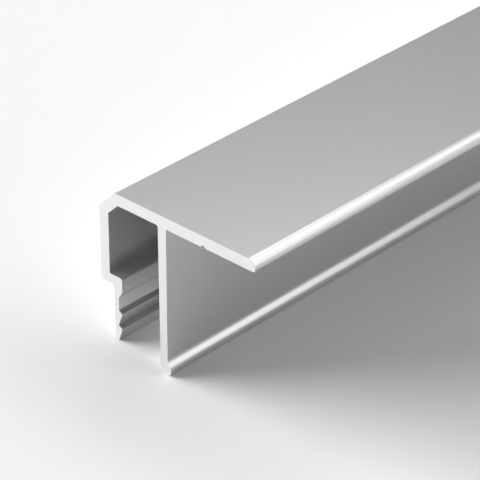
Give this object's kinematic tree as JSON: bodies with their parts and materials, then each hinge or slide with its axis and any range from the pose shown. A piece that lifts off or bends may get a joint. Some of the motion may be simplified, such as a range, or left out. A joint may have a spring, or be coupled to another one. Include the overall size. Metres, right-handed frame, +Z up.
{
  "type": "stretch ceiling profile",
  "caption": "Straight aluminium extrusion for a stretch ceiling: a screw-on flange, a chamber and a toothed throat that takes the membrane's harpoon.",
  "frame": {"origin": "on the floor under the middle of the length and of the leaning section's box, as the length stands unheld on the nose of its web and the outer corner of its lip", "axes": "+Y runs along the length; +X crosses the section towards the flange's tip; +Z is up. The section leans 9.05 degrees about Y, flange side raised, because its two feet differ in height."},
  "size_m": [0.021, 2, 0.0201],
  "materials": {
    "aluminium_extrusion": "satin, with fine lines along the length"
  },
  "bodies": {
    "root": {"ceiling_profile": "aluminium_extrusion"}
  },
  "joints": []
}
